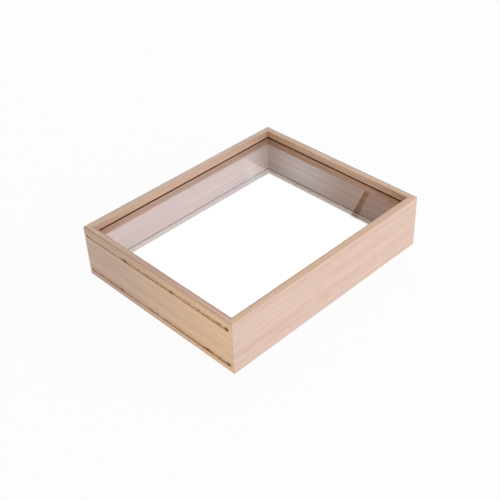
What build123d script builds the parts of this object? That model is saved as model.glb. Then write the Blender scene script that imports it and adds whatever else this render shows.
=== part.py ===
"""Dried flower display box: a mitred wood frame with two clear panes that slide in through slots.

X runs along the box, Y across it and Z up. The origin is under the middle of the box.
The panes enter through two slots in the -X end board and stop in grooves in the other three.
All sizes are in millimetres.
"""
from build123d import *
import os

os.makedirs("parts", exist_ok=True)

# Outside of the box
box_length = 265.0
box_width = 215.0
box_height = 60.0

# The milled wood section that all four boards are sawn from
board_thickness = 7.5
edge_radius = 0.6
corner_radius = 0.7
top_lip = 7.8
bottom_lip = 6.4
groove_depth = 3.0

# The panes and their fit in the grooves
pane_thickness = 2.0
pane_arris = 0.2
pane_seat_gap = 0.05
pane_head_gap = 0.55
pane_edge_gap = 0.3
pane_recess = 0.5

# The V-nails that pin the mitres from underneath
nail_leg = 3.2
nail_lip = 0.9
nail_gauge = 0.45
nail_roof = 1.4

# Worked out from the sizes above
half_length = box_length / 2
half_width = box_width / 2
sight_half_length = half_length - board_thickness
sight_half_width = half_width - board_thickness
groove_height = pane_seat_gap + pane_thickness + pane_head_gap
lower_groove_floor = bottom_lip
upper_groove_floor = box_height - top_lip - groove_height
groove_floors = (lower_groove_floor, upper_groove_floor)
slot_width = 2 * (sight_half_width + groove_depth)

# A plane across each board at mid length: its x runs inwards from the outer face, its y up
front_section = Plane(origin=(0, -half_width, 0), x_dir=(0, 1, 0), z_dir=(1, 0, 0))
back_section = Plane(origin=(0, half_width, 0), x_dir=(0, -1, 0), z_dir=(-1, 0, 0))
closed_end_section = Plane(origin=(half_length, 0, 0), x_dir=(-1, 0, 0), z_dir=(0, 1, 0))
slotted_end_section = Plane(origin=(-half_length, 0, 0), x_dir=(1, 0, 0), z_dir=(0, -1, 0))

# V-nails: one in each mitre, its point towards the inside of the box
nail_height = bottom_lip - nail_roof
nail_inset = (board_thickness - nail_leg) / 2
nail_point_x = sight_half_length + nail_inset
nail_point_y = sight_half_width + nail_inset


def nail_strip(x_side, y_side, along, across, x_size, y_size):
    """Adds one straight strip of a V-nail, given from the nail's point outwards."""
    x_middle = x_side * (nail_point_x + along + x_size / 2)
    y_middle = y_side * (nail_point_y + across + y_size / 2)
    with Locations((x_middle, y_middle)):
        Rectangle(x_size, y_size)


with BuildPart() as corner_v_nails:
    with BuildSketch(Plane.XY):
        for x_side in (-1, 1):
            for y_side in (-1, 1):
                tip = nail_leg - nail_gauge
                nail_strip(x_side, y_side, 0, 0, nail_leg, nail_gauge)
                nail_strip(x_side, y_side, 0, 0, nail_gauge, nail_leg)
                nail_strip(x_side, y_side, tip, 0, nail_gauge, nail_lip)
                nail_strip(x_side, y_side, 0, tip, nail_lip, nail_gauge)
    extrude(amount=nail_height)


def saw_board(section, length):
    """Returns one board: the grooved section, mitred to 45 degrees at both ends.

    The rounded outline of the whole box gives each end its half of the eased corner, and
    the V-nails leave their kerfs in the underside.
    """
    plan = Plane(origin=section.origin, x_dir=section.z_dir, z_dir=(0, 0, 1))
    inner_half = length / 2 - board_thickness
    with BuildPart() as board:
        with BuildSketch(section):
            with Locations((board_thickness / 2, box_height / 2)):
                RectangleRounded(board_thickness, box_height, edge_radius)
            for floor in groove_floors:
                with Locations((board_thickness - groove_depth / 2, floor + groove_height / 2)):
                    Rectangle(groove_depth, groove_height, mode=Mode.SUBTRACT)
        extrude(amount=length / 2, both=True)

        with BuildSketch(plan):
            with BuildLine():
                Polyline(
                    (-length / 2, 0),
                    (length / 2, 0),
                    (inner_half, board_thickness),
                    (-inner_half, board_thickness),
                    close=True,
                )
            make_face()
        extrude(amount=box_height, mode=Mode.INTERSECT)

        with BuildSketch(Plane.XY):
            RectangleRounded(box_length, box_width, corner_radius)
        extrude(amount=box_height, mode=Mode.INTERSECT)
        add(corner_v_nails.part, mode=Mode.SUBTRACT)
    return board


front_board = saw_board(front_section, box_length)
back_board = saw_board(back_section, box_length)
closed_end_board = saw_board(closed_end_section, box_width)
grooved_end_board = saw_board(slotted_end_section, box_width)

# The slotted end board: a board like the others, with both grooves sawn right through
with BuildPart() as slotted_end_board:
    add(grooved_end_board.part)
    with BuildSketch(Plane(origin=(-half_length, 0, 0), x_dir=(0, -1, 0), z_dir=(-1, 0, 0))):
        for floor in groove_floors:
            with Locations((0, floor + groove_height / 2)):
                Rectangle(slot_width, groove_height)
    extrude(amount=-board_thickness, mode=Mode.SUBTRACT)

# Panes: the -X edge lies just inside the slot, the +X edge just short of its groove
pane_low_x = -half_length + pane_recess
pane_high_x = sight_half_length + groove_depth - pane_edge_gap
pane_length = pane_high_x - pane_low_x
pane_width = slot_width - 2 * pane_edge_gap
pane_middle_x = (pane_low_x + pane_high_x) / 2


def cut_pane(groove_floor):
    """Returns one pane, lying in the grooves over the given floor."""
    with BuildPart() as pane:
        with BuildSketch(Plane.XY.offset(groove_floor + pane_seat_gap)):
            with Locations((pane_middle_x, 0)):
                Rectangle(pane_length, pane_width)
        extrude(amount=pane_thickness)
        chamfer(edges(), length=pane_arris)
    return pane


top_pane = cut_pane(upper_groove_floor)
bottom_pane = cut_pane(lower_groove_floor)

pieces = {
    "front_board": front_board,
    "back_board": back_board,
    "closed_end_board": closed_end_board,
    "slotted_end_board": slotted_end_board,
    "corner_v_nails": corner_v_nails,
    "top_pane": top_pane,
    "bottom_pane": bottom_pane,
}
for piece_name, piece in pieces.items():
    piece.part.label = piece_name
    export_step(piece.part, f"parts/{piece_name}.step")
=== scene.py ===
"""Looks of the dried flower display box: four mitred boards of pale wood and two clear panes.

Everything is in metres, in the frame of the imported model: X along the box, Y across it, Z up.
"""

import math

import bmesh
import bpy
import numpy as np
from mathutils import Matrix, Vector


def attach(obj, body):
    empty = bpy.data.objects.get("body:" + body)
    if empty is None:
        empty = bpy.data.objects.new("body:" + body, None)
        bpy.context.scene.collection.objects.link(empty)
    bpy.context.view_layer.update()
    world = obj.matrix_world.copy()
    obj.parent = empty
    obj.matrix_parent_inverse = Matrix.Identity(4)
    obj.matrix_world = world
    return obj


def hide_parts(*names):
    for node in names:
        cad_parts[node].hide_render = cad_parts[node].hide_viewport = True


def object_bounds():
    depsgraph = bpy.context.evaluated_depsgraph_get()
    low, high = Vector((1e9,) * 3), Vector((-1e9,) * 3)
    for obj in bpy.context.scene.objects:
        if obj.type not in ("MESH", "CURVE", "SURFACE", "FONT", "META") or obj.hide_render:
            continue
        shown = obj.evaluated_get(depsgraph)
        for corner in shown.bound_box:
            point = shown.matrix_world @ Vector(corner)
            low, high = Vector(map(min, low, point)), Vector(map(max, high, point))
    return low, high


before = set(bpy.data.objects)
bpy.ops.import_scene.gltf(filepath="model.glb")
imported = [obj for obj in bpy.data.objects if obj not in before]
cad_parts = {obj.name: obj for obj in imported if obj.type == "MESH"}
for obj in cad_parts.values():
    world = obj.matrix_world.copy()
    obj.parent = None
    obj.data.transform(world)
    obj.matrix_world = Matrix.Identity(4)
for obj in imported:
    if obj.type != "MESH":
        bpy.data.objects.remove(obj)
cad_low, cad_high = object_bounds()
mm = 0.001


# Camera
# The photo looks down on the corner between the slotted end and the front board, from
# about 0.6 m above the table, with a long lens and a slight roll.
view_azimuth = math.radians(-43.16)
view_elevation = math.radians(37.67)
view_roll = math.radians(-2.68)
view_distance = 931.4 * mm
aim_point = Vector((-19.5, -15.2, 30.0)) * mm
sensor_width = 36.0
focal_length = 66.2


def add_object(name, data):
    """Adds an object with the given data to the scene and returns it."""
    made = bpy.data.objects.new(name, data)
    bpy.context.scene.collection.objects.link(made)
    return made


backwards = Vector((
    math.sin(view_azimuth) * math.cos(view_elevation),
    -math.cos(view_azimuth) * math.cos(view_elevation),
    math.sin(view_elevation),
))
level_right = (-backwards).cross(Vector((0, 0, 1))).normalized()
level_up = level_right.cross(-backwards)
right = level_right * math.cos(view_roll) + level_up * math.sin(view_roll)
up = level_up * math.cos(view_roll) - level_right * math.sin(view_roll)

camera = add_object("camera", bpy.data.cameras.new("camera"))
camera.data.sensor_width = sensor_width
camera.data.lens = focal_length
camera.matrix_world = Matrix.Translation(aim_point + backwards * view_distance) @ Matrix((
    (right.x, up.x, backwards.x, 0),
    (right.y, up.y, backwards.y, 0),
    (right.z, up.z, backwards.z, 0),
    (0, 0, 0, 1),
))
bpy.context.scene.camera = camera


# Front, back and closed end boards
# Planed strips of pale straight-grained softwood, sanded and left unstained, with the grain
# running along each board. They are mitred at 45 degrees, glued and pinned from below.
half_length = cad_high.x
half_width = cad_high.y
box_height = cad_high.z
board_thickness = 7.5 * mm
groove_depth = 3.0 * mm
groove_height = 2.6 * mm
groove_floors = (6.4 * mm, 49.6 * mm)
seam_width = 0.16 * mm
pith_distance = (58 * mm, 96 * mm)
ring_wander = 2.6 * mm
ring_spacing = 2.3 * mm
corner_reach = 70 * mm
wood_gloss = 0.35
pale_dash_colour = (0.93, 0.83, 0.74, 1)
pale_fleck_colour = (0.94, 0.82, 0.74, 1)
dark_dash_colour = (0.34, 0.21, 0.14, 1)
# Painted light: the faces inside the box are painted warmer than the outer faces of the same wood.
inner_warm_light_tint = (1.11, 1.01, 0.935, 1)
# Painted light: the inner faces below the lower pane are painted brighter and bluer, in place of light
# from the white floor.
floor_bounce_light_tint = (1.16, 1.33, 1.36, 1)
# Painted shade: the narrow strip just above each groove is painted dark brown, as the shade of the gap
# above the pane.
low_line_shade = (0.55, 0.13, 0.03, 1)
high_line_shade = (0.34, 0.09, 0.02, 1)
# Yellower and a little darker along the top edge, over the rim and a few millimetres down the faces.
top_edge_tint = (0.97, 0.89, 0.74, 1)
seam_colour = (0.22, 0.13, 0.08, 1)


def add_node(tree, kind, inputs=None, **settings):
    """Adds a node; each of its named inputs is set to a value or linked to a socket."""
    made = tree.nodes.new(kind)
    for name, value in settings.items():
        setattr(made, name, value)
    for name, value in (inputs or {}).items():
        if isinstance(value, bpy.types.NodeSocket):
            tree.links.new(value, made.inputs[name])
        else:
            made.inputs[name].default_value = value
    return made


def math_node(tree, operation, first, second=0.0, third=0.0):
    """Adds a Math node and returns its result."""
    inputs = {0: first, 1: second, 2: third}
    return add_node(tree, "ShaderNodeMath", inputs, operation=operation).outputs[0]


def product(tree, first, second):
    """Multiplies two numbers."""
    return math_node(tree, "MULTIPLY", first, second)


def gap_between(tree, first, second):
    """How far two numbers lie apart."""
    return math_node(tree, "ABSOLUTE", math_node(tree, "SUBTRACT", first, second))


def ramp_node(tree, value, low, high, to_low=0.0, to_high=1.0):
    """Adds a smooth Map Range from low..high to to_low..to_high and returns its result."""
    inputs = {"Value": value, "From Min": low, "From Max": high, "To Min": to_low, "To Max": to_high}
    made = add_node(tree, "ShaderNodeMapRange", inputs, interpolation_type="SMOOTHSTEP")
    return made.outputs["Result"]


def fade_node(tree, value, low, high):
    """A smooth fall from 1 at low to 0 at high."""
    return ramp_node(tree, value, low, high, 1.0, 0.0)


def noise_node(tree, point, stretch, detail=2.0, roughness=0.5):
    """Adds a noise of the point scaled by stretch, in features per metre, about 0.5."""
    scaled = add_node(tree, "ShaderNodeVectorMath", {0: point, 1: stretch}, operation="MULTIPLY")
    inputs = {"Vector": scaled.outputs[0], "Scale": 1.0, "Detail": detail, "Roughness": roughness}
    return add_node(tree, "ShaderNodeTexNoise", inputs).outputs["Fac"]


def mix_colours(tree, share, first, second, blend="MIX"):
    """Adds a colour mix and returns its result."""
    inputs = {0: share, 6: first, 7: second}
    made = add_node(tree, "ShaderNodeMix", data_type="RGBA", blend_type=blend)
    for place, value in inputs.items():
        if isinstance(value, bpy.types.NodeSocket):
            tree.links.new(value, made.inputs[place])
        else:
            made.inputs[place].default_value = value
    return made.outputs[2]


def tint(tree, share, colour, by):
    """Multiplies a colour by another, or by a number, over the given share."""
    return mix_colours(tree, share, colour, by, blend="MULTIPLY")


def new_group(name, inputs, outputs):
    """Makes an empty shader group with the given sockets and returns it with its two ends."""
    group = bpy.data.node_groups.new(name, "ShaderNodeTree")
    for direction, sockets in (("INPUT", inputs), ("OUTPUT", outputs)):
        for socket_name, kind in sockets:
            group.interface.new_socket(socket_name, in_out=direction, socket_type=kind)
    source = group.nodes.new("NodeGroupInput")
    target = group.nodes.new("NodeGroupOutput")
    return group, source.outputs, target.inputs


def new_material(name):
    """Makes a material and returns it with its tree and its shader."""
    material = bpy.data.materials.new(name)
    material.use_nodes = True
    return material, material.node_tree, material.node_tree.nodes["Principled BSDF"]


def object_point(tree):
    """The shaded point, in the object's own coordinates."""
    return add_node(tree, "ShaderNodeTexCoord").outputs["Object"]


def bump_surface(tree, shader, height, distance, strength):
    """Bumps the shader's surface by the given height."""
    inputs = {"Height": height, "Distance": distance, "Strength": strength}
    bump = add_node(tree, "ShaderNodeBump", inputs)
    tree.links.new(bump.outputs[0], shader.inputs["Normal"])


def build_straight_grain():
    """Wood whose grain runs along the point's X: year rings about a far pith, fibres, flecks.

    The rings are lines of equal distance from the pith, so they run straight along every
    face; noises stretched along the grain add lines, streaks, dashes and pale flecks.
    """
    group, given, result = new_group(
        "straight_grain",
        [("Point", "NodeSocketVector"), ("Pale", "NodeSocketColor"), ("Late", "NodeSocketColor")],
        [("Color", "NodeSocketColor"), ("Roughness", "NodeSocketFloat"), ("Height", "NodeSocketFloat")],
    )
    point = given["Point"]
    parts = add_node(group, "ShaderNodeSeparateXYZ", {0: point}).outputs
    wander = noise_node(group, point, (5, 22, 22), detail=1.0)
    across = math_node(group, "ADD", parts["Y"], pith_distance[0])
    upwards = math_node(group, "ADD", parts["Z"], pith_distance[1])
    squares = math_node(group, "ADD", product(group, across, across), product(group, upwards, upwards))
    from_pith = math_node(group, "SQRT", squares)
    radius = math_node(group, "MULTIPLY_ADD", wander, ring_wander, from_pith)

    along_ring = add_node(group, "ShaderNodeCombineXYZ", {0: parts["X"], 1: radius, 2: 0.0}).outputs[0]
    bands = noise_node(group, along_ring, (2.0, 110, 1))
    lines = noise_node(group, along_ring, (3.5, 820, 1), roughness=0.55)
    uneven = noise_node(group, along_ring, (1.2, 260, 1), detail=1.0)
    turns = math_node(group, "MULTIPLY_ADD", radius, 1 / ring_spacing, product(group, uneven, 2.6))
    ring = math_node(group, "FRACT", turns)
    late_wood = product(group, ramp_node(group, ring, 0.45, 0.93), fade_node(group, ring, 0.95, 1.0))

    fibres = noise_node(group, point, (45, 2300, 2300), roughness=0.6)
    streaks = noise_node(group, point, (7, 560, 560))
    dashes = noise_node(group, point, (60, 1300, 1300), detail=1.0)
    flecks = noise_node(group, point, (16, 900, 900), detail=1.0)
    pale_dash = ramp_node(group, dashes, 0.64, 0.73)
    dark_dash = ramp_node(group, dashes, 0.34, 0.25)
    pale_fleck = ramp_node(group, flecks, 0.63, 0.72)

    share = math_node(group, "MULTIPLY_ADD", bands, 0.95, -0.26)
    share = math_node(group, "MULTIPLY_ADD", late_wood, 0.34, share)
    for noise, weight in ((lines, 1.15), (streaks, 0.6), (fibres, 0.75)):
        centred = math_node(group, "SUBTRACT", noise, 0.5)
        share = math_node(group, "MULTIPLY_ADD", centred, weight, share)
    colour = mix_colours(group, share, given["Pale"], given["Late"])
    for mask, strength, marked in (
        (pale_dash, 0.38, pale_dash_colour),
        (pale_fleck, 0.48, pale_fleck_colour),
        (dark_dash, 0.30, dark_dash_colour),
    ):
        colour = mix_colours(group, product(group, mask, strength), colour, marked)
    group.links.new(colour, result["Color"])

    gloss = math_node(group, "MULTIPLY_ADD", fibres, 0.16, 0.46)
    group.links.new(math_node(group, "MULTIPLY_ADD", late_wood, -0.06, gloss), result["Roughness"])
    relief = math_node(group, "MULTIPLY_ADD", late_wood, 0.35, product(group, fibres, 0.5))
    relief = math_node(group, "MULTIPLY_ADD", dark_dash, -0.5, relief)
    group.links.new(relief, result["Height"])
    return group


def from_groove(tree, height):
    """How far a height is from the middle of the nearer groove."""
    gaps = [gap_between(tree, height, floor + groove_height / 2) for floor in groove_floors]
    return math_node(tree, "MINIMUM", gaps[0], gaps[1])


def build_board_edges():
    """Where boards meet, where edges were eased and where grooves were sawn, from the point.

    Seam is 1 on the mitre planes, where both distances inwards from the faces are equal.
    Arris is 1 at the top edge and fades within a few millimetres.
    Rim is 1 on the top and bottom faces, Inner on the faces that look into the box, and
    Glazed on those between the two panes, where painted shade goes. Low is 1 on them below the
    lower pane, where painted light goes, and Line on the narrow strip just above each groove,
    which is painted dark as shade. Groove is 1 inside the two sawn grooves, between the outer
    and the inner faces, where painted shade goes, and Across runs from 0 at the board's outer
    face to 1 at its inner face. Corner is 1 in the inner corners round the upper pane and fades
    along the boards, where painted shade goes, and Upper is 1 high up.
    """
    masks = ("Seam", "Arris", "Rim", "Inner", "Glazed", "Low", "Line", "Groove", "Across",
             "Corner", "Upper")
    group, given, result = new_group(
        "board_edges", [("Point", "NodeSocketVector")], [(mask, "NodeSocketFloat") for mask in masks])
    parts = add_node(group, "ShaderNodeSeparateXYZ", {0: given["Point"]}).outputs
    height = parts["Z"]
    lower_floor, upper_floor = groove_floors
    inwards_x = math_node(group, "SUBTRACT", half_length, math_node(group, "ABSOLUTE", parts["X"]))
    inwards_y = math_node(group, "SUBTRACT", half_width, math_node(group, "ABSOLUTE", parts["Y"]))
    inwards = math_node(group, "MINIMUM", inwards_x, inwards_y)
    seam = fade_node(group, gap_between(group, inwards_x, inwards_y), 0.2 * seam_width, seam_width)

    below_edge = math_node(group, "SUBTRACT", box_height / 2, gap_between(group, height, box_height / 2))
    reach = product(group, noise_node(group, given["Point"], (24, 24, 300)), 6.0 * mm)
    past_reach = math_node(group, "SUBTRACT", below_edge, reach)
    upper = ramp_node(group, height, 0.3 * box_height, 0.7 * box_height)
    arris = product(group, fade_node(group, past_reach, -2.5 * mm, 4.0 * mm), upper)

    past_outside = ramp_node(group, inwards, 0.1 * mm, 0.5 * mm)
    inner = ramp_node(group, inwards, board_thickness - 0.25 * mm, board_thickness - 0.05 * mm)
    before_inside = math_node(group, "SUBTRACT", 1.0, inner)
    level = fade_node(group, from_groove(group, height),
                      groove_height / 2 + 0.02 * mm, groove_height / 2 + 0.08 * mm)
    sunk = product(group, past_outside, before_inside)

    along = math_node(group, "MAXIMUM", inwards_x, inwards_y)
    near_corner = fade_node(group, along, board_thickness, board_thickness + corner_reach)
    round_pane = ramp_node(group, height, upper_floor - 9 * mm, upper_floor - 2 * mm)

    under_groove = ramp_node(group, height, upper_floor, upper_floor + 0.4 * mm, 0.35, 0.0)
    well_under = ramp_node(group, height, upper_floor - 11 * mm, upper_floor - 2 * mm, 0.65, 0.0)
    over_pane = ramp_node(group, height, lower_floor - 0.4 * mm, lower_floor + 1.0 * mm)
    between_panes = product(group, math_node(group, "ADD", under_groove, well_under), over_pane)

    lines = []
    for floor in groove_floors:
        above = math_node(group, "SUBTRACT", height, floor + groove_height)
        lines.append(product(group, ramp_node(group, above, -0.15 * mm, -0.05 * mm),
                             fade_node(group, above, 0.3 * mm, 0.85 * mm)))
    line = math_node(group, "MAXIMUM", lines[0], lines[1])

    found = {
        "Seam": seam,
        "Arris": arris,
        "Rim": fade_node(group, below_edge, 0.1 * mm, 0.6 * mm),
        "Inner": inner,
        "Glazed": product(group, inner, between_panes),
        "Low": product(group, inner, math_node(group, "SUBTRACT", 1.0, over_pane)),
        "Line": product(group, inner, line),
        "Groove": product(group, level, sunk),
        "Across": math_node(group, "DIVIDE", inwards, board_thickness),
        "Corner": product(group, near_corner, product(group, inner, round_pane)),
        "Upper": upper,
    }
    for name, mask in found.items():
        group.links.new(mask, result[name])
    return group


straight_grain = build_straight_grain()
board_edges = build_board_edges()


def board_wood(name, pale, late, rim_shade_tint, glazed_shade_tint, corner_shade_tint, groove_shade_colour,
               streaks, rim_edge_shade, turn, shift):
    """Wood for one board: its grain turned about Z to run along it, and a cut of its own.

    Streaks is how far the planed rim and inner face swing darker and paler along the grain.
    Rim edge shade is painted shade: how bright the rim is at its outer and its inner edge.
    Corner shade tint is the painted shade in the inner corners round the upper pane, and the
    rim shade tint and glazed shade tint paint shade on the top faces and between the panes.
    Returns the material, its tree and its last colour, so that a board can be marked further.
    """
    material, tree, shader = new_material(name)
    point = object_point(tree)
    placing = {"Vector": point, "Location": shift, "Rotation": (0, 0, turn)}
    placed = add_node(tree, "ShaderNodeMapping", placing).outputs[0]
    cut = {"Point": placed, "Pale": pale, "Late": late}
    grain = add_node(tree, "ShaderNodeGroup", cut, node_tree=straight_grain).outputs
    edges = add_node(tree, "ShaderNodeGroup", {"Point": point}, node_tree=board_edges).outputs

    strips = noise_node(tree, placed, (5, 460, 460), detail=3.0, roughness=0.65)
    swing = ramp_node(tree, strips, 0.3, 0.7, 1 - streaks, 1 + streaks)
    planed = math_node(tree, "MAXIMUM", edges["Rim"], edges["Inner"])
    # Painted shade across the rim, from its outer to its inner edge.
    across_rim_shade = ramp_node(tree, edges["Across"], 0.1, 0.9, rim_edge_shade[0], rim_edge_shade[1])
    # Painted light and shade on the rim and inner faces, over the grain's own colour.
    colour = grain["Color"]
    for mask, by in (
        (planed, swing),
        (edges["Rim"], rim_shade_tint),
        (edges["Rim"], across_rim_shade),
        (edges["Inner"], inner_warm_light_tint),
        (edges["Glazed"], glazed_shade_tint),
        (edges["Low"], floor_bounce_light_tint),
        (edges["Corner"], corner_shade_tint),
    ):
        colour = tint(tree, mask, colour, by)
    # Painted shade on the strip just above each groove.
    strip_shade = mix_colours(tree, edges["Upper"], low_line_shade, high_line_shade)
    colour = mix_colours(tree, product(tree, edges["Line"], 0.85), colour, strip_shade)
    colour = tint(tree, product(tree, edges["Arris"], 0.55), colour, top_edge_tint)
    colour = mix_colours(tree, product(tree, edges["Seam"], 0.7), colour, seam_colour)
    # Painted shade inside the grooves.
    colour = mix_colours(tree, product(tree, edges["Groove"], 0.94), colour, groove_shade_colour)
    tree.links.new(colour, shader.inputs["Base Color"])
    tree.links.new(grain["Roughness"], shader.inputs["Roughness"])
    dull = math_node(tree, "MAXIMUM", edges["Groove"], edges["Line"])
    tree.links.new(math_node(tree, "MULTIPLY_ADD", dull, -wood_gloss, wood_gloss),
                   shader.inputs["Specular IOR Level"])
    bump_surface(tree, shader, grain["Height"], 0.08 * mm, 0.6)
    return material, tree, colour


def give_material(node_name, material):
    """Puts the material into every slot of a CAD node."""
    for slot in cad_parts[node_name].material_slots:
        slot.material = material


quarter_turn = math.pi / 2
untinted = (1.0, 1.0, 1.0, 1)
# Painted shade in the inner corners round the upper pane.
soft_corner_shade = (0.82, 0.79, 0.73, 1)
# Painted shade: the insides of the sawn grooves are painted dark, where shade falls.
painted_groove_shade = (0.070, 0.026, 0.010, 1)

# Painted light and shade, board by board: the rim shade tint darkens the top faces, the glazed shade tint
# darkens the inner faces between the panes, and the corner shade tint darkens the inner corners round the
# upper pane.
front_wood, _, _ = board_wood(
    "front_wood", pale=(0.885, 0.664, 0.569, 1), late=(0.686, 0.479, 0.389, 1),
    rim_shade_tint=(0.90, 0.87, 0.81, 1), glazed_shade_tint=untinted, corner_shade_tint=soft_corner_shade,
    groove_shade_colour=painted_groove_shade, streaks=0.07, rim_edge_shade=(1.03, 0.89),
    turn=0.0, shift=(0, -0.03, 0))
back_wood, _, _ = board_wood(
    "back_wood", pale=(0.82, 0.62, 0.515, 1), late=(0.60, 0.42, 0.335, 1),
    rim_shade_tint=(0.84, 0.885, 0.93, 1), glazed_shade_tint=(0.84, 0.84, 0.90, 1), corner_shade_tint=soft_corner_shade,
    groove_shade_colour=painted_groove_shade, streaks=0.06, rim_edge_shade=(1.0, 1.0),
    turn=0.0, shift=(0.31, 0.02, 0.013))
closed_end_wood, _, _ = board_wood(
    "closed_end_wood", pale=(0.90, 0.652, 0.518, 1), late=(0.49, 0.305, 0.203, 1),
    rim_shade_tint=(0.89, 0.93, 0.98, 1), glazed_shade_tint=(0.615, 0.52, 0.445, 1),
    corner_shade_tint=(0.70, 0.66, 0.58, 1), groove_shade_colour=painted_groove_shade,
    streaks=0.18, rim_edge_shade=(0.93, 1.05), turn=quarter_turn, shift=(0.17, -0.013, 0.031))
give_material("front_board", front_wood)
give_material("back_board", back_wood)
give_material("closed_end_board", closed_end_wood)


# Slotted end board
# The same wood and section, with both grooves sawn right through so that the panes can be
# pushed in from this end. The saw has torn and scorched the mouths of both slots.
slot_half_length = half_width - board_thickness + groove_depth
station_gap = 0.4 * mm
tear_reach = 0.95 * mm
tear_spread = 2.4 * mm
end_hole_inset = 2.0 * mm
cutter_stand_out = 0.5 * mm
flat_enough = 0.9999
sharp_angle = math.radians(30)
stain_colour = (0.46, 0.22, 0.085, 1)
torn_shade_colour = (0.27, 0.13, 0.055, 1)
scorch_colour = (0.15, 0.042, 0.012, 1)
# Painted light: the slotted end is painted brighter and warmer towards the front corner, and cooler
# towards the far end.
far_shade_tint = (0.95, 0.97, 1.0, 1)
near_light_tint = (1.33, 1.29, 1.09, 1)
# Middle in Y and Z, half length and half height, in millimetres, and strength
upper_scorches = ((43.3, 50.7, 5.2, 1.5, 0.9), (-25.8, 50.3, 6.0, 1.35, 0.9), (9, 50.9, 4.2, 1.2, 0.5),
                  (-5, 50.3, 3.4, 1.1, 0.4), (-100.8, 51, 3.4, 2.7, 1.1), (-90, 51.2, 6.5, 1.5, 0.55),
                  (100.2, 50.4, 2.2, 1.4, 0.3), (-63.6, 51, 3.5, 1.2, 0.4))
lower_scorches = ((55.8, 7.1, 5.4, 1.3, 0.75), (30.4, 8.3, 6.0, 1.1, 0.5), (-73.2, 7.3, 10.5, 1.4, 0.85),
                  (-99.9, 7.9, 3.4, 2.5, 1.15), (-87.9, 7.4, 2.6, 1.5, 0.75), (102.5, 8.6, 2.5, 1.4, 0.3),
                  (88.5, 8.1, 7.5, 1.2, 0.4), (75, 8.3, 3.6, 1.2, 0.35))
# Place along Y, in metres, and size as a share of the greatest tear
upper_tears = ((0.0415, 1.0), (0.0125, 0.5), (-0.0265, 1.0), (-0.052, 0.6), (-0.086, 0.7))
lower_tears = ((0.0525, 0.9), (0.021, 0.5), (-0.034, 0.5), (-0.0735, 1.0), (-0.09, 0.6))


def merged_copy(node_name, piece_name):
    """Copies a CAD node's mesh into a new piece and joins its loose triangles."""
    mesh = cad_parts[node_name].data.copy()
    mesh.name = piece_name
    joined = bmesh.new()
    joined.from_mesh(mesh)
    bmesh.ops.remove_doubles(joined, verts=joined.verts, dist=0.001 * mm)
    joined.to_mesh(mesh)
    joined.free()
    if "custom_normal" in mesh.attributes:
        mesh.attributes.remove(mesh.attributes["custom_normal"])
    return add_object(piece_name, mesh)


def face_normals(mesh):
    """The normals of a mesh's faces, one row for each."""
    normals = np.empty(3 * len(mesh.polygons))
    mesh.polygons.foreach_get("normal", normals)
    return normals.reshape(-1, 3)


def ragged_line(places, random, tears):
    """Height of the torn edge at each place: two seeded uneven lines, with a bump per tear."""
    coarse = np.interp(places, np.linspace(-0.11, 0.11, 56), random.random(56))
    fine = np.interp(places, np.linspace(-0.11, 0.11, 300), random.random(300))
    height = 0.25 * coarse ** 2 + 0.55 * coarse * fine ** 2
    for middle, size in tears:
        height = height + size * (0.6 + 0.4 * fine) * np.exp(-((places - middle) / tear_spread) ** 2)
    return tear_reach * np.minimum(height, 1.1)


def torn_mouth(name, floor_height, tears, seed):
    """The wood that the saw tore from one slot's mouth, as a closed bar along the slot.

    At each place along Y the section has six corners in X and Z: two stand out of the face,
    two lie on it above and below the slot by the height of the torn edge, and two lie in the
    slot, deeper where the tear is higher. Past the slot's ends the section shrinks to a point.
    """
    random = np.random.default_rng(seed)
    end = slot_half_length + 0.5 * mm
    places = np.linspace(-end, end, int(2 * end / station_gap))
    hole = ((-slot_half_length + end_hole_inset, 0.9),)
    above = ragged_line(places, random, tears + hole)
    below = 0.7 * ragged_line(places, random, tears[::2] + hole)
    depth = (0.35 + 0.9 * random.random(len(places))) * mm
    past_end = np.clip((np.abs(places) - slot_half_length + 0.6 * mm) / (1.1 * mm), 0, 1)
    fullness = np.sqrt(1 - 0.98 * past_end ** 2)
    middle = floor_height + groove_height / 2
    top = middle + (groove_height / 2 + above) * fullness
    bottom = middle - (groove_height / 2 + below) * fullness
    inner_top = middle + (groove_height / 2 - 0.1 * mm) * fullness
    inner_bottom = middle - (groove_height / 2 - 0.1 * mm) * fullness
    face = np.full_like(places, -half_length)
    outside = face - cutter_stand_out
    rings = np.stack([np.stack([across, places, height], axis=1) for across, height in (
        (face, bottom),
        (face + depth + 2 * below, inner_bottom),
        (face + depth + 2 * above, inner_top),
        (face, top),
        (outside, top),
        (outside, bottom),
    )], axis=1)
    count, corners = rings.shape[:2]
    ring_starts = np.arange(count - 1)[:, None] * corners
    corner = np.arange(corners)[None, :]
    following = (corner + 1) % corners
    sides = np.stack([ring_starts + corner, ring_starts + corners + corner,
                      ring_starts + corners + following, ring_starts + following], axis=2)
    first_end = list(range(corners))
    last_end = list(range(count * corners - 1, (count - 1) * corners - 1, -1))
    mesh = bpy.data.meshes.new(name)
    faces = sides.reshape(-1, 4).tolist() + [first_end, last_end]
    mesh.from_pydata(rings.reshape(-1, 3).tolist(), [], faces)
    return add_object(name, mesh)


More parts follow.
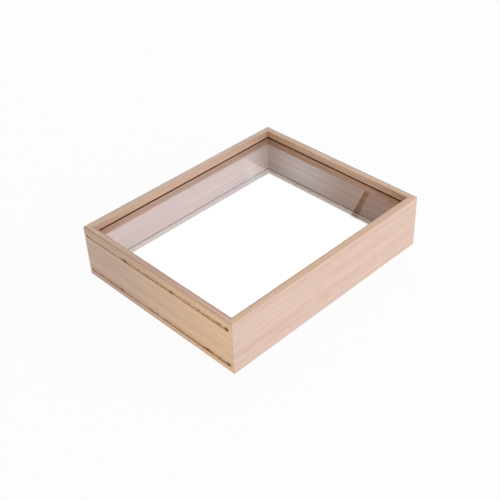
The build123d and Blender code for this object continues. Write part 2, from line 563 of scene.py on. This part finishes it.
def carve(piece, cutters):
    """Takes the cutters out of the piece for good.

    A face that lies square to an axis is shaded flat, and every other face smooth up to the
    sharp edges, so that the wide faces stay plain beside the torn ones.
    """
    for cutter in cutters:
        cut = piece.modifiers.new(cutter.name, "BOOLEAN")
        cut.object = cutter
        cut.operation = "DIFFERENCE"
        cut.solver = "EXACT"
    bpy.context.view_layer.update()
    carved = bpy.data.meshes.new_from_object(piece.evaluated_get(bpy.context.evaluated_depsgraph_get()))
    piece.modifiers.clear()
    piece.data = carved
    for cutter in cutters:
        bpy.data.objects.remove(cutter)
    is_rounded = np.abs(face_normals(carved)).max(axis=1) < flat_enough
    carved.polygons.foreach_set("use_smooth", is_rounded)
    carved.set_sharp_from_angle(angle=sharp_angle)


def build_saw_scorch():
    """Where the saw burnt the wood beside its two cuts: uneven ovals at the places listed above."""
    group, given, result = new_group(
        "saw_scorch", [("Point", "NodeSocketVector")], [("Dark", "NodeSocketFloat")])
    point = given["Point"]
    nearest = 10.0
    for y_middle, z_middle, half_long, half_high, power in upper_scorches + lower_scorches:
        middle = (-half_length, y_middle * mm, z_middle * mm)
        stretch = (0, 1 / (half_long * mm), 1 / (half_high * mm))
        offset = add_node(group, "ShaderNodeVectorMath", {0: point, 1: middle}, operation="SUBTRACT")
        stretched = {0: offset.outputs[0], 1: stretch}
        scaled = add_node(group, "ShaderNodeVectorMath", stretched, operation="MULTIPLY")
        length = add_node(group, "ShaderNodeVectorMath", {0: scaled.outputs[0]}, operation="LENGTH")
        paler = math_node(group, "ADD", length.outputs["Value"], 0.75 * (1 - power))
        nearest = math_node(group, "MINIMUM", nearest, paler)
    ragged = noise_node(group, point, (300, 170, 620), roughness=0.6)
    uneven = math_node(group, "MULTIPLY_ADD", ragged, 1.5, math_node(group, "SUBTRACT", nearest, 0.75))
    group.links.new(fade_node(group, uneven, 0.35, 1.15), result["Dark"])
    return group


saw_scorch = build_saw_scorch()


def mark_slots(tree, colour):
    """Paints light on the wood, brighter and warmer towards the front corner, and browns it beside the
    slots.

    The rim has painted shade, darker at its outer and its inner edge than between them. The stain
    reaches a little way up and down from each slot, by an uneven amount; the torn places within it
    are painted darker as shade in their recesses, and the scorched places are darker.
    Returns the colour and how dull the surface is.
    """
    point = object_point(tree)
    parts = add_node(tree, "ShaderNodeSeparateXYZ", {0: point}).outputs
    depth = math_node(tree, "ADD", parts["X"], half_length)
    outside = fade_node(tree, depth, 0.6 * mm, 2.0 * mm)
    # Painted light, brighter towards the front corner.
    near_light_share = product(tree, ramp_node(tree, parts["Y"], 0.09, -0.11), outside)
    far_shaded_colour = tint(tree, 1.0, colour, far_shade_tint)
    near_lit_colour = tint(tree, 1.0, colour, near_light_tint)
    lit_and_shaded = mix_colours(tree, near_light_share, far_shaded_colour, near_lit_colour)

    # Painted shade on the rim, darker at its outer and its inner edge.
    on_top = ramp_node(tree, parts["Z"], box_height - 0.6 * mm, box_height - 0.1 * mm)
    outer_rim_shade = ramp_node(tree, depth, 0.8 * mm, 3.2 * mm, 0.84, 1.1)
    inner_rim_shade = ramp_node(tree, depth, 4.4 * mm, 6.4 * mm, 1.0, 0.8)
    lit_and_shaded = tint(tree, on_top, lit_and_shaded, product(tree, outer_rim_shade, inner_rim_shade))

    nearest = from_groove(tree, parts["Z"])
    uneven = noise_node(tree, point, (300, 260, 420), detail=3.0, roughness=0.6)
    coarse = noise_node(tree, point, (60, 48, 60), detail=1.0)
    reach = math_node(tree, "MULTIPLY_ADD", coarse, 2.8 * mm, product(tree, uneven, 3.4 * mm))
    past_reach = math_node(tree, "SUBTRACT", nearest, math_node(tree, "SUBTRACT", reach, 0.9 * mm))
    from_middle = math_node(tree, "ABSOLUTE", parts["Y"])
    before_end = fade_node(tree, from_middle, slot_half_length - 0.5 * mm, slot_half_length + 1.5 * mm)
    stained = fade_node(tree, past_reach, -0.4 * mm, 0.5 * mm)
    stained = product(tree, stained, product(tree, before_end, outside))
    patchy = ramp_node(tree, noise_node(tree, point, (40, 55, 40)), 0.38, 0.62, 0.3, 0.72)
    brown = mix_colours(tree, product(tree, stained, patchy), lit_and_shaded, stain_colour)

    # Painted shade: the torn recesses of the slot mouths are painted darker.
    torn = product(tree, ramp_node(tree, depth, 0.06 * mm, 0.3 * mm), outside)
    torn = product(tree, torn, fade_node(tree, nearest, 3.0 * mm, 4.0 * mm))
    rough = mix_colours(tree, product(tree, torn, 0.7), brown, torn_shade_colour)
    scorch = add_node(tree, "ShaderNodeGroup", {"Point": point}, node_tree=saw_scorch).outputs["Dark"]
    scorch = product(tree, scorch, outside)
    burnt = mix_colours(tree, product(tree, scorch, 0.8), rough, scorch_colour)
    return burnt, math_node(tree, "MAXIMUM", scorch, torn)


slotted_end_wood, slotted_tree, slotted_colour = board_wood(
    "slotted_end_wood", pale=(0.80, 0.575, 0.441, 1), late=(0.59, 0.372, 0.258, 1),
    rim_shade_tint=(0.85, 0.83, 0.89, 1), glazed_shade_tint=untinted, corner_shade_tint=soft_corner_shade,
    groove_shade_colour=(0.32, 0.165, 0.08, 1), streaks=0.12, rim_edge_shade=(1.0, 1.0),
    turn=quarter_turn, shift=(0.05, 0.017, 0.022))
marked_colour, marked_dull = mark_slots(slotted_tree, slotted_colour)
slotted_shader = slotted_tree.nodes["Principled BSDF"]
slotted_tree.links.new(marked_colour, slotted_shader.inputs["Base Color"])
slotted_tree.links.new(math_node(slotted_tree, "MULTIPLY_ADD", marked_dull, -wood_gloss, wood_gloss),
                       slotted_shader.inputs["Specular IOR Level"])

sawn_end = merged_copy("slotted_end_board", "slotted_end_board_sawn")
carve(sawn_end, [
    torn_mouth("upper_tear", groove_floors[1], upper_tears, seed=7),
    torn_mouth("lower_tear", groove_floors[0], lower_tears, seed=19),
])
sawn_end.data.materials.clear()
sawn_end.data.materials.append(slotted_end_wood)
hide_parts("slotted_end_board")
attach(sawn_end, "frame")


# Corner V-nails
# Bent strips of bright rolled steel, driven up into each mitre from the underside until
# flush with the bottom rim. They show only when the box is turned over.
def nail_steel():
    """Cold-rolled strip: fine drawn lines and a slightly uneven shine."""
    material, tree, shader = new_material("nail_steel")
    point = object_point(tree)
    lines = noise_node(tree, point, (900, 900, 12000))
    blots = noise_node(tree, point, (700, 700, 700))
    colour = mix_colours(tree, blots, (0.55, 0.55, 0.56, 1), (0.68, 0.67, 0.65, 1))
    tree.links.new(colour, shader.inputs["Base Color"])
    tree.links.new(ramp_node(tree, lines, 0.3, 0.7, 0.28, 0.45), shader.inputs["Roughness"])
    shader.inputs["Metallic"].default_value = 1.0
    bump_surface(tree, shader, lines, 0.01 * mm, 0.5)
    return material


give_material("corner_v_nails", nail_steel())


# Panes
# Two sheets of clear float glass with ground edges, pushed in through the slots. Each lies
# loose in its groove. Wood dust has settled on its edges, and in the slot their brown is also
# painted reflection of the wood.
glass_index = 1.5
glass_shadow = (0.88, 0.89, 0.885, 1)
# Wood dust and painted reflection of the wood, for the edge in the slot.
slot_dust_and_reflection = ((0.93, 0.66, 0.44, 1), (0.62, 0.36, 0.18, 1))
groove_dust = ((0.60, 0.40, 0.27, 1), (0.40, 0.22, 0.12, 1))
smudge_colour = (0.17, 0.05, 0.015, 1)
edge_slope = 0.9


def pane_glass():
    """Clear glass that lets lamps through, so that the inside of the box is lit."""
    material, tree, shader = new_material("pane_glass")
    shader.inputs["Base Color"].default_value = (1.0, 1.0, 1.0, 1)
    shader.inputs["Roughness"].default_value = 0.0
    shader.inputs["IOR"].default_value = glass_index
    shader.inputs["Transmission Weight"].default_value = 1.0
    lamp_ray = add_node(tree, "ShaderNodeLightPath").outputs["Is Shadow Ray"]
    clear = add_node(tree, "ShaderNodeBsdfTransparent", {"Color": glass_shadow})
    both = add_node(tree, "ShaderNodeMixShader", {0: lamp_ray, 1: shader.outputs[0], 2: clear.outputs[0]})
    tree.links.new(both.outputs[0], tree.nodes["Material Output"].inputs["Surface"])
    return material


def ground_edge():
    """The cut edge of the sheet: ground matt, and brown.

    In the slot the brown is wood dust and painted reflection of the wood around it, and the
    scorched wood has smudged it; in the grooves the edge is darker, brown with wood dust.
    """
    material, tree, shader = new_material("pane_edge")
    point = object_point(tree)
    dust = noise_node(tree, point, (260, 260, 900), detail=3.0)
    grit = noise_node(tree, point, (2500, 2500, 4000))
    dust_and_reflection = mix_colours(tree, ramp_node(tree, dust, 0.35, 0.65), *slot_dust_and_reflection)
    scorch = add_node(tree, "ShaderNodeGroup", {"Point": point}, node_tree=saw_scorch).outputs["Dark"]
    smudged = mix_colours(tree, product(tree, scorch, 0.8), dust_and_reflection, smudge_colour)
    parts = add_node(tree, "ShaderNodeSeparateXYZ", {0: point}).outputs
    in_slot = fade_node(tree, math_node(tree, "ADD", parts["X"], half_length), 0.7 * mm, 2.0 * mm)
    ground = mix_colours(tree, ramp_node(tree, dust, 0.3, 0.7), *groove_dust)
    tree.links.new(mix_colours(tree, in_slot, ground, smudged), shader.inputs["Base Color"])
    tree.links.new(ramp_node(tree, grit, 0.3, 0.7, 0.45, 0.7), shader.inputs["Roughness"])
    shader.inputs["Specular IOR Level"].default_value = 0.2
    bump_surface(tree, shader, grit, 0.03 * mm, 0.6)
    return material


clear_face = pane_glass()
matt_edge = ground_edge()


def glazed(node_name, piece_name, body_name):
    """A pane with clear faces and ground edges: a face is an edge unless it looks up or down."""
    piece = merged_copy(node_name, piece_name)
    mesh = piece.data
    mesh.materials.clear()
    mesh.materials.append(clear_face)
    mesh.materials.append(matt_edge)
    is_edge = np.abs(face_normals(mesh)[:, 2]) < edge_slope
    mesh.polygons.foreach_set("material_index", is_edge.astype(np.int32))
    mesh.polygons.foreach_set("use_smooth", np.zeros(len(mesh.polygons), dtype=bool))
    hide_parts(node_name)
    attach(piece, body_name)


glazed("top_pane", "top_pane_sheet", "upper_pane")
glazed("bottom_pane", "bottom_pane_sheet", "lower_pane")


# Studio
# A plain white table and surround, with two large soft lamps at the front and the right. The
# panes reflect three softboxes on a wall beyond the box, and the pale card and the dark lamp
# stand in front of them.
floor_reach = 6.0
floor_drop = 0.2 * mm
wall_x = 1.52
card_gap = 0.02
ambient_strength = 0.68
floor_whiteness = 0.93
lamp_white = (1.0, 0.975, 0.965)

floor_corners = [(x_side * floor_reach, y_side * floor_reach, 0)
                 for x_side, y_side in ((-1, -1), (1, -1), (1, 1), (-1, 1))]
floor_mesh = bpy.data.meshes.new("studio_floor")
floor_mesh.from_pydata(floor_corners, [], [(0, 1, 2, 3)])
floor = add_object("studio_floor", floor_mesh)
floor.location.z = -floor_drop


def seen_share(tree, direct, through_glass):
    """The given shares for rays from the camera or off gloss, and for rays through glass."""
    path = add_node(tree, "ShaderNodeLightPath").outputs
    seen = math_node(tree, "MAXIMUM", path["Is Camera Ray"], path["Is Glossy Ray"])
    return math_node(tree, "MAXIMUM", product(tree, seen, direct),
                     product(tree, path["Is Transmission Ray"], through_glass))


def floor_paint():
    """White paint that is seen mostly as plain white, and keeps a soft share of the shadow."""
    material, tree, shader = new_material("studio_floor")
    tree.nodes.remove(shader)
    paint = add_node(tree, "ShaderNodeBsdfDiffuse", {"Color": (0.9, 0.9, 0.9, 1)})
    white = add_node(tree, "ShaderNodeEmission", {"Color": (1, 1, 1, 1), "Strength": 1.0})
    share = seen_share(tree, floor_whiteness, 1.0)
    both = add_node(tree, "ShaderNodeMixShader", {0: share, 1: paint.outputs[0], 2: white.outputs[0]})
    tree.links.new(both.outputs[0], tree.nodes["Material Output"].inputs["Surface"])
    return material


floor.data.materials.append(floor_paint())

world = bpy.data.worlds.new("studio")
bpy.context.scene.world = world
world.use_nodes = True
sky = world.node_tree
for sky_node in list(sky.nodes):
    sky.nodes.remove(sky_node)
sky_seen = seen_share(sky, 1.0, 1.0)
sky_strength = math_node(sky, "MULTIPLY_ADD", sky_seen, 1 - ambient_strength, ambient_strength)
background = add_node(sky, "ShaderNodeBackground", {"Color": (1, 1, 1, 1), "Strength": sky_strength})
add_node(sky, "ShaderNodeOutputWorld", {"Surface": background.outputs[0]})


def soft_lamp(name, azimuth, elevation, distance, size, power, colour):
    """Adds a square lamp that faces the box from the given side."""
    lamp = bpy.data.lights.new(name, "AREA")
    lamp.size = size
    lamp.energy = power
    lamp.color = colour
    turn = math.radians(azimuth)
    rise = math.radians(elevation)
    towards = Vector((math.sin(turn) * math.cos(rise), -math.cos(turn) * math.cos(rise), math.sin(rise)))
    holder = add_object(name, lamp)
    holder.location = towards * distance
    holder.rotation_euler = towards.to_track_quat("Z", "Y").to_euler()


def wall_softbox(name, behind, low_y, high_y, low_z, high_z, radiance, colour, fade_in, fade_out):
    """Adds an upright softbox at the wall, or behind it, as bright to look at as is given.

    It fades towards its two ends, over the given shares of its width. Softboxes that overlap
    stand one behind the other, so that a reflection shows both.
    """
    lamp = bpy.data.lights.new(name, "AREA")
    lamp.shape = "RECTANGLE"
    lamp.size = high_y - low_y
    lamp.size_y = high_z - low_z
    lamp.energy = radiance * math.pi * lamp.size * lamp.size_y
    lamp.color = colour
    lamp.use_nodes = True
    tree = lamp.node_tree
    place = add_node(tree, "ShaderNodeNewGeometry").outputs["Parametric"]
    across = add_node(tree, "ShaderNodeSeparateXYZ", {0: place}).outputs["X"]
    rise = ramp_node(tree, across, 0.0, fade_in)
    fall = fade_node(tree, across, 1 - fade_out, 1.0)
    tree.links.new(product(tree, rise, fall), tree.nodes["Emission"].inputs["Strength"])
    holder = add_object(name, lamp)
    holder.location = (wall_x + behind, (low_y + high_y) / 2, (low_z + high_z) / 2)
    holder.rotation_euler = Vector((1, 0, 0)).to_track_quat("Z", "Y").to_euler()


def card(name, corners, colour):
    """Adds a flat matt card just in front of that wall, from its corners in Y and Z."""
    mesh = bpy.data.meshes.new(name)
    mesh.from_pydata([(wall_x - card_gap, y, z) for y, z in corners], [], [tuple(range(len(corners)))])
    material, _, shader = new_material(name)
    shader.inputs["Base Color"].default_value = (*colour, 1)
    shader.inputs["Roughness"].default_value = 1.0
    mesh.materials.append(material)
    add_object(name, mesh)


soft_lamp("front_lamp", azimuth=10, elevation=20, distance=1.8, size=1.3, power=5.6, colour=lamp_white)
soft_lamp("right_lamp", azimuth=60, elevation=20, distance=1.8, size=1.0, power=4.4, colour=lamp_white)
wall_softbox("wide_softbox", behind=0.0, low_y=1.48, high_y=2.85, low_z=1.10, high_z=2.40,
             radiance=1.64, colour=(0.88, 0.88, 1.0), fade_in=0.146, fade_out=0.05)
wall_softbox("narrow_softbox", behind=0.03, low_y=1.14, high_y=1.56, low_z=1.10, high_z=1.383,
             radiance=1.0, colour=(0.68, 0.83, 1.0), fade_in=0.50, fade_out=0.50)
wall_softbox("upper_softbox", behind=0.06, low_y=0.60, high_y=1.72, low_z=1.427, high_z=2.40,
             radiance=0.95, colour=(1.0, 1.0, 1.0), fade_in=0.04, fade_out=0.06)
card("pale_card", ((0.50, 1.15), (0.981, 1.15), (1.0624, 1.372), (0.50, 1.372)), (0.93, 0.93, 0.92))
card("lamp_stand", ((0.981, 1.15), (0.992, 1.15), (1.0905, 1.372), (1.0624, 1.372)), (0.03, 0.02, 0.015))

bpy.context.scene.view_settings.view_transform = "Standard"
